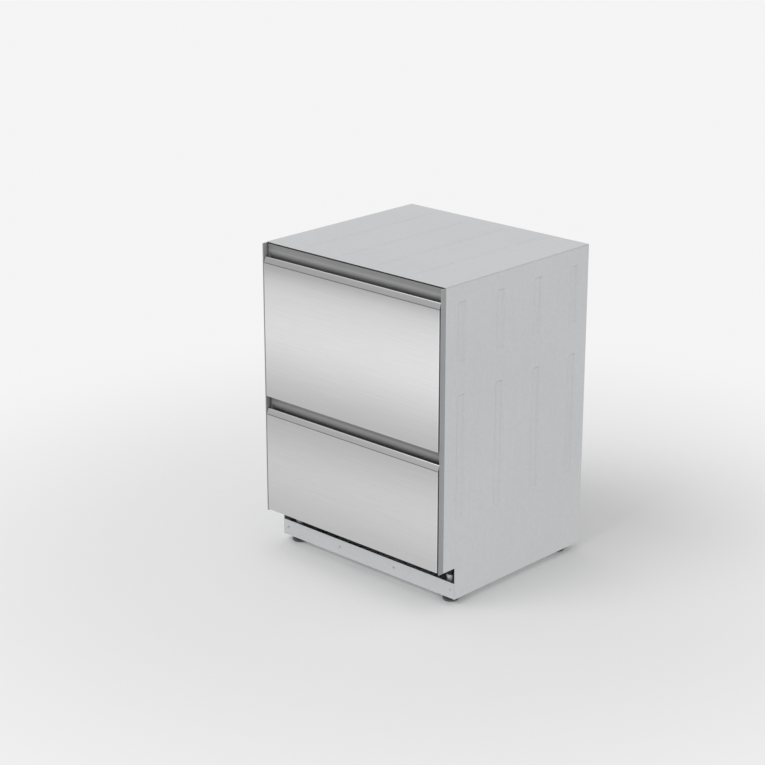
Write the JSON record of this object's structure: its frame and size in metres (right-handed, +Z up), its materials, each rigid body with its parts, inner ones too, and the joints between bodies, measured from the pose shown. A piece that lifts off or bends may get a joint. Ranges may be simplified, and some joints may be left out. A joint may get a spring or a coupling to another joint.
{
  "type": "dishwasher drawer",
  "caption": "Built-in drawer dishwasher: stacked wash drawers with folded steel fronts, finger grip lips, ball runners, plastic tubs, wire racks and lifting lids.",
  "frame": {"origin": "middle of the footprint on the floor, under the levelling feet wound fully in", "axes": "+X to the right seen from the front, -Y out of the drawer fronts, +Z up"},
  "size_m": [0.599, 0.571, 0.82],
  "materials": {
    "brushed_front": "fine horizontal brushed grain, satin",
    "chassis_steel": "galvanised sheet, faint spangle",
    "runner_steel": "bright zinc, light grease",
    "trim_grey": "grey moulded, satin",
    "dark_plastic": "dark grey moulded, fine texture",
    "motor_black": "black moulded, fine texture",
    "tub_plastic": "grey moulded, satin",
    "lid_plastic": "pale grey moulded, satin",
    "filter_plastic": "grey moulded, satin",
    "arm_plastic": "smooth grey moulded",
    "coated_wire": "grey dipped coating",
    "basket_plastic": "dark grey moulded",
    "dispenser_plastic": "off-white moulded",
    "white_plastic": "white moulded",
    "seal_rubber": "soft dark rubber"
  },
  "bodies": {
    "chassis": {"right_side_panel": "chassis_steel", "left_side_panel": "chassis_steel", "right_side_trim": "trim_grey", "left_side_trim": "trim_grey", "top_panel": "chassis_steel", "back_panel": "chassis_steel", "base_pan": "chassis_steel", "base_front_plate": "chassis_steel", "centre_rail": "chassis_steel", "inlet_valve": "white_plastic", "drain_spigot": "dark_plastic", "power_inlet": "motor_black", "upper_outer_rail_left": "runner_steel", "upper_outer_rail_right": "runner_steel", "lower_outer_rail_left": "runner_steel", "lower_outer_rail_right": "runner_steel"},
    "front_left_foot": {"front_left_foot": "dark_plastic"},
    "front_right_foot": {"front_right_foot": "dark_plastic"},
    "rear_left_foot": {"rear_left_foot": "dark_plastic"},
    "rear_right_foot": {"rear_right_foot": "dark_plastic"},
    "upper_drawer": {"upper_front_panel": "brushed_front", "upper_grip_fascia": "trim_grey", "upper_tub": "tub_plastic", "upper_inner_rail_left": "runner_steel", "upper_inner_rail_right": "runner_steel", "upper_wash_motor": "motor_black", "upper_filter_plate": "filter_plastic", "upper_dish_rack": "coated_wire", "upper_cutlery_basket": "basket_plastic", "upper_dispenser": "dispenser_plastic"},
    "upper_middle_rail_left": {"upper_middle_rail_left": "runner_steel"},
    "upper_middle_rail_right": {"upper_middle_rail_right": "runner_steel"},
    "upper_lid": {"upper_lid": "lid_plastic", "upper_lid_seal": "seal_rubber"},
    "upper_spray_arm": {"upper_spray_arm": "arm_plastic"},
    "upper_fold_tines": {"upper_fold_tines": "coated_wire"},
    "upper_cup_shelf": {"upper_cup_shelf": "coated_wire"},
    "upper_dispenser_door": {"upper_dispenser_door": "dark_plastic"},
    "upper_power_button": {"upper_power_button": "dark_plastic"},
    "upper_start_button": {"upper_start_button": "dark_plastic"},
    "lower_drawer": {"lower_front_panel": "brushed_front", "lower_grip_fascia": "trim_grey", "lower_tub": "tub_plastic", "lower_inner_rail_left": "runner_steel", "lower_inner_rail_right": "runner_steel", "lower_wash_motor": "motor_black", "lower_filter_plate": "filter_plastic", "lower_dish_rack": "coated_wire", "lower_cutlery_basket": "basket_plastic", "lower_dispenser": "dispenser_plastic"},
    "lower_middle_rail_left": {"lower_middle_rail_left": "runner_steel"},
    "lower_middle_rail_right": {"lower_middle_rail_right": "runner_steel"},
    "lower_lid": {"lower_lid": "lid_plastic", "lower_lid_seal": "seal_rubber"},
    "lower_spray_arm": {"lower_spray_arm": "arm_plastic"},
    "lower_fold_tines": {"lower_fold_tines": "coated_wire"},
    "lower_cup_shelf": {"lower_cup_shelf": "coated_wire"},
    "lower_dispenser_door": {"lower_dispenser_door": "dark_plastic"},
    "lower_power_button": {"lower_power_button": "dark_plastic"},
    "lower_start_button": {"lower_start_button": "dark_plastic"}
  },
  "joints": [
    {"name": "front_left_foot_height", "type": "slide", "parent": "chassis", "child": "front_left_foot", "axis": [0, 0, -1], "range_m": [0, 0.06]},
    {"name": "front_right_foot_height", "type": "slide", "parent": "chassis", "child": "front_right_foot", "axis": [0, 0, -1], "range_m": [0, 0.06]},
    {"name": "rear_left_foot_height", "type": "slide", "parent": "chassis", "child": "rear_left_foot", "axis": [0, 0, -1], "range_m": [0, 0.06]},
    {"name": "rear_right_foot_height", "type": "slide", "parent": "chassis", "child": "rear_right_foot", "axis": [0, 0, -1], "range_m": [0, 0.06]},
    {"name": "upper_drawer_slide", "type": "slide", "parent": "chassis", "child": "upper_drawer", "axis": [0, -1, 0], "range_m": [0, 0.48]},
    {"name": "upper_middle_rail_left_slide", "type": "slide", "parent": "chassis", "child": "upper_middle_rail_left", "axis": [0, -1, 0], "range_m": [0, 0.24]},
    {"name": "upper_middle_rail_right_slide", "type": "slide", "parent": "chassis", "child": "upper_middle_rail_right", "axis": [0, -1, 0], "range_m": [0, 0.24]},
    {"name": "upper_lid_lift", "type": "slide", "parent": "chassis", "child": "upper_lid", "axis": [0, 0, 1], "range_m": [0, 0.006]},
    {"name": "upper_spray_arm_spin", "type": "hinge", "parent": "upper_drawer", "child": "upper_spray_arm", "pos_m": [0, 0, 0.54], "axis": [0, 0, 1], "continuous": true},
    {"name": "upper_fold_tines_fold", "type": "hinge", "parent": "upper_drawer", "child": "upper_fold_tines", "pos_m": [0, 0.01165, 0.5649], "axis": [1, 0, 0], "range_deg": [0, 90]},
    {"name": "upper_cup_shelf_fold", "type": "hinge", "parent": "upper_drawer", "child": "upper_cup_shelf", "pos_m": [-0.255, 0, 0.691], "axis": [0, -1, 0], "range_deg": [0, 90]},
    {"name": "upper_dispenser_door_slide", "type": "slide", "parent": "upper_drawer", "child": "upper_dispenser_door", "axis": [1, 0, 0], "range_m": [0, 0.06]},
    {"name": "upper_power_button_press", "type": "slide", "parent": "upper_drawer", "child": "upper_power_button", "axis": [0, 0, -1], "range_m": [0, 0.0015], "stiffness_N_per_m": 300},
    {"name": "upper_start_button_press", "type": "slide", "parent": "upper_drawer", "child": "upper_start_button", "axis": [0, 0, -1], "range_m": [0, 0.0015], "stiffness_N_per_m": 300},
    {"name": "lower_drawer_slide", "type": "slide", "parent": "chassis", "child": "lower_drawer", "axis": [0, -1, 0], "range_m": [0, 0.48]},
    {"name": "lower_middle_rail_left_slide", "type": "slide", "parent": "chassis", "child": "lower_middle_rail_left", "axis": [0, -1, 0], "range_m": [0, 0.24]},
    {"name": "lower_middle_rail_right_slide", "type": "slide", "parent": "chassis", "child": "lower_middle_rail_right", "axis": [0, -1, 0], "range_m": [0, 0.24]},
    {"name": "lower_lid_lift", "type": "slide", "parent": "chassis", "child": "lower_lid", "axis": [0, 0, 1], "range_m": [0, 0.006]},
    {"name": "lower_spray_arm_spin", "type": "hinge", "parent": "lower_drawer", "child": "lower_spray_arm", "pos_m": [0, 0, 0.138], "axis": [0, 0, 1], "continuous": true},
    {"name": "lower_fold_tines_fold", "type": "hinge", "parent": "lower_drawer", "child": "lower_fold_tines", "pos_m": [0, 0.01165, 0.1629], "axis": [1, 0, 0], "range_deg": [0, 90]},
    {"name": "lower_cup_shelf_fold", "type": "hinge", "parent": "lower_drawer", "child": "lower_cup_shelf", "pos_m": [-0.255, 0, 0.289], "axis": [0, -1, 0], "range_deg": [0, 90]},
    {"name": "lower_dispenser_door_slide", "type": "slide", "parent": "lower_drawer", "child": "lower_dispenser_door", "axis": [1, 0, 0], "range_m": [0, 0.06]},
    {"name": "lower_power_button_press", "type": "slide", "parent": "lower_drawer", "child": "lower_power_button", "axis": [0, 0, -1], "range_m": [0, 0.0015], "stiffness_N_per_m": 300},
    {"name": "lower_start_button_press", "type": "slide", "parent": "lower_drawer", "child": "lower_start_button", "axis": [0, 0, -1], "range_m": [0, 0.0015], "stiffness_N_per_m": 300}
  ],
  "couplings": [
    {"joint": "upper_middle_rail_left_slide", "follows": "upper_drawer_slide", "ratio": 0.5},
    {"joint": "upper_middle_rail_right_slide", "follows": "upper_drawer_slide", "ratio": 0.5},
    {"joint": "lower_middle_rail_left_slide", "follows": "lower_drawer_slide", "ratio": 0.5},
    {"joint": "lower_middle_rail_right_slide", "follows": "lower_drawer_slide", "ratio": 0.5}
  ]
}
